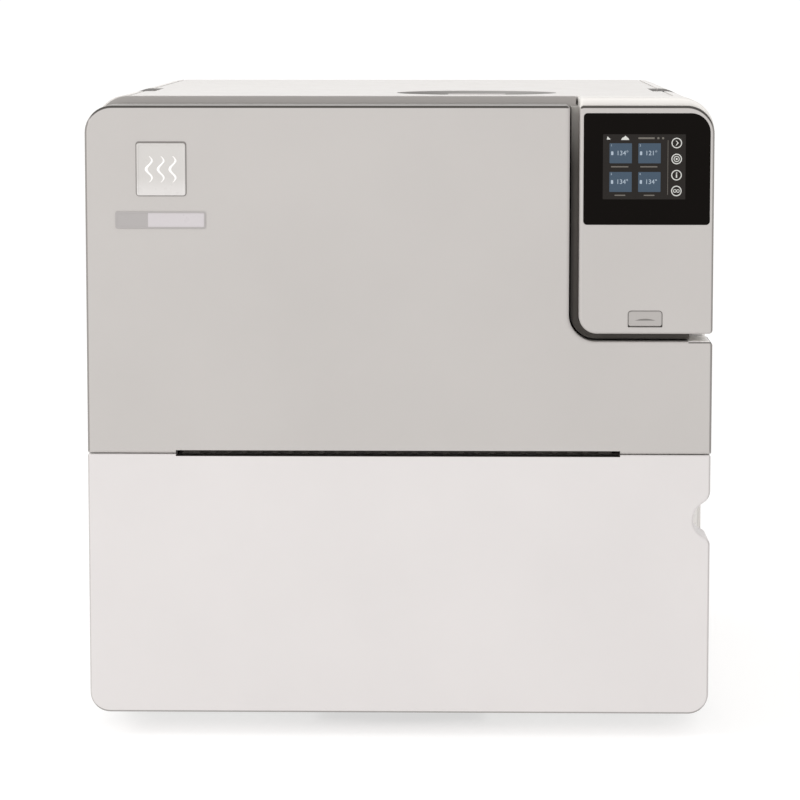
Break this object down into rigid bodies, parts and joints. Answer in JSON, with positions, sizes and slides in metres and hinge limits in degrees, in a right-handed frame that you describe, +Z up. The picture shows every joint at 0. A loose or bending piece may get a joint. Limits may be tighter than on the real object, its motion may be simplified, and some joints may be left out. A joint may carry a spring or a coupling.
{
  "type": "benchtop autoclave",
  "caption": "Front-loading benchtop steam steriliser with a side-hinged chamber door, service door, touch display head and lift-off top lid.",
  "frame": {"origin": "middle of the overall footprint, on the surface the feet stand on", "axes": "+X to the right seen from the front, +Y to the back, +Z up; the doors face -Y"},
  "size_m": [0.48, 0.6, 0.4965],
  "materials": {
    "door_grey": "fine satin moulded plastic",
    "casing_white": "white powder coat",
    "white_plastic": "satin moulded plastic",
    "black_glass": "polished black glass",
    "display": "colour display",
    "dark_plastic": "matte black plastic",
    "grey_plastic": "grey moulded plastic",
    "badge": "pearl satin",
    "stainless": "brushed stainless steel",
    "polished_steel": "polished",
    "aluminium": "mill finish",
    "brass": "machined",
    "rubber": "matte black",
    "silicone": "matte silicone",
    "insulation": "needled glass fibre",
    "tank_plastic": "translucent polyethylene",
    "board_green": "printed circuit board",
    "red_plastic": "red plastic"
  },
  "bodies": {
    "housing": {"base_pan": "stainless", "casing_screws": "polished_steel", "chamber_vessel": "stainless", "clean_water_tank": "tank_plastic", "condenser": "aluminium", "control_fascia": "door_grey", "control_housing": "white_plastic", "display_module": "display", "drain_couplings": "brass", "fan_shroud": "dark_plastic", "front_frame": "door_grey", "gap_trim": "dark_plastic", "heater_band": "aluminium", "hinge_brackets": "stainless", "hinge_pins": "polished_steel", "instrument_trays": "stainless", "insulation_jacket": "insulation", "lock_actuator": "dark_plastic", "main_board": "board_green", "mains_inlet": "dark_plastic", "rear_panel": "casing_white", "rear_spigots": "brass", "rocker_housing": "dark_plastic", "rubber_feet": "rubber", "safety_valve": "brass", "screen_glass": "black_glass", "service_bay": "grey_plastic", "side_panel_left": "casing_white", "side_panel_right": "casing_white", "solenoid_valves": "dark_plastic", "steam_generator": "stainless", "steam_pipe": "brass", "tray_rack": "stainless", "usb_socket": "polished_steel", "used_water_tank": "tank_plastic", "vacuum_pump": "aluminium", "valve_manifold": "brass", "vent_strip": "dark_plastic", "water_pump": "dark_plastic"},
    "door": {"door_cover": "door_grey", "badge_plate": "badge", "label_plate": "badge", "door_inner_cover": "grey_plastic", "door_pressure_plate": "stainless", "door_gasket": "silicone", "door_hinge_frame": "stainless", "door_strikers": "stainless"},
    "lower_door": {"service_door": "white_plastic"},
    "lid": {"top_lid": "casing_white"},
    "filler": {"fill_cap": "white_plastic"},
    "port_flap": {"usb_flap": "door_grey"},
    "rocker": {"power_rocker": "dark_plastic"},
    "reset": {"reset_button": "red_plastic"},
    "air_filter": {"bacteria_filter": "white_plastic"},
    "dust_drawer": {"dust_filter": "dark_plastic"},
    "fan": {"fan_impeller": "dark_plastic"},
    "lock": {"lock_bar": "stainless"},
    "relief_knob": {"valve_knob": "red_plastic"},
    "collar_left": {"coupling_collar_left": "polished_steel"},
    "collar_right": {"coupling_collar_right": "polished_steel"}
  },
  "joints": [
    {"name": "door_hinge", "type": "hinge", "parent": "housing", "child": "door", "pos_m": [-0.235, -0.25, 0.36], "axis": [0, 0, -1], "range_deg": [0, 110]},
    {"name": "lower_door_hinge", "type": "hinge", "parent": "housing", "child": "lower_door", "pos_m": [-0.235, -0.25, 0.12], "axis": [0, 0, -1], "range_deg": [0, 110]},
    {"name": "lid_lift", "type": "slide", "parent": "housing", "child": "lid", "axis": [0, 0, 1], "range_m": [0, 0.12]},
    {"name": "filler_cap_turn", "type": "hinge", "parent": "lid", "child": "filler", "pos_m": [0.0595, -0.157, 0.488], "axis": [0, 0, 1], "range_deg": [0, 90]},
    {"name": "port_flap_hinge", "type": "hinge", "parent": "housing", "child": "port_flap", "pos_m": [0.1882, -0.2977, 0.3232], "axis": [1, 0, 0], "range_deg": [0, 90]},
    {"name": "power_rocker_tilt", "type": "hinge", "parent": "housing", "child": "rocker", "pos_m": [0.02, -0.151, 0.17], "axis": [1, 0, 0], "range_deg": [0, 14]},
    {"name": "reset_button_push", "type": "slide", "parent": "housing", "child": "reset", "axis": [0, 1, 0], "range_m": [0, 0.003], "stiffness_N_per_m": 300},
    {"name": "air_filter_turn", "type": "hinge", "parent": "housing", "child": "air_filter", "pos_m": [0.135, -0.19, 0.12], "axis": [0, -1, 0], "range_deg": [0, 270]},
    {"name": "dust_filter_slide", "type": "slide", "parent": "housing", "child": "dust_drawer", "axis": [0, -1, 0], "range_m": [0, 0.16]},
    {"name": "fan_spin", "type": "hinge", "parent": "housing", "child": "fan", "pos_m": [0, 0.27, 0.14], "axis": [0, 1, 0], "continuous": true},
    {"name": "lock_bar_slide", "type": "slide", "parent": "housing", "child": "lock", "axis": [-1, 0, 0], "range_m": [0, 0.01]},
    {"name": "relief_knob_pull", "type": "slide", "parent": "housing", "child": "relief_knob", "axis": [0, 1, 0], "range_m": [0, 0.003], "stiffness_N_per_m": 400},
    {"name": "collar_left_release", "type": "slide", "parent": "housing", "child": "collar_left", "axis": [0, 1, 0], "range_m": [0, 0.004], "stiffness_N_per_m": 300},
    {"name": "collar_right_release", "type": "slide", "parent": "housing", "child": "collar_right", "axis": [0, 1, 0], "range_m": [0, 0.004], "stiffness_N_per_m": 300}
  ]
}
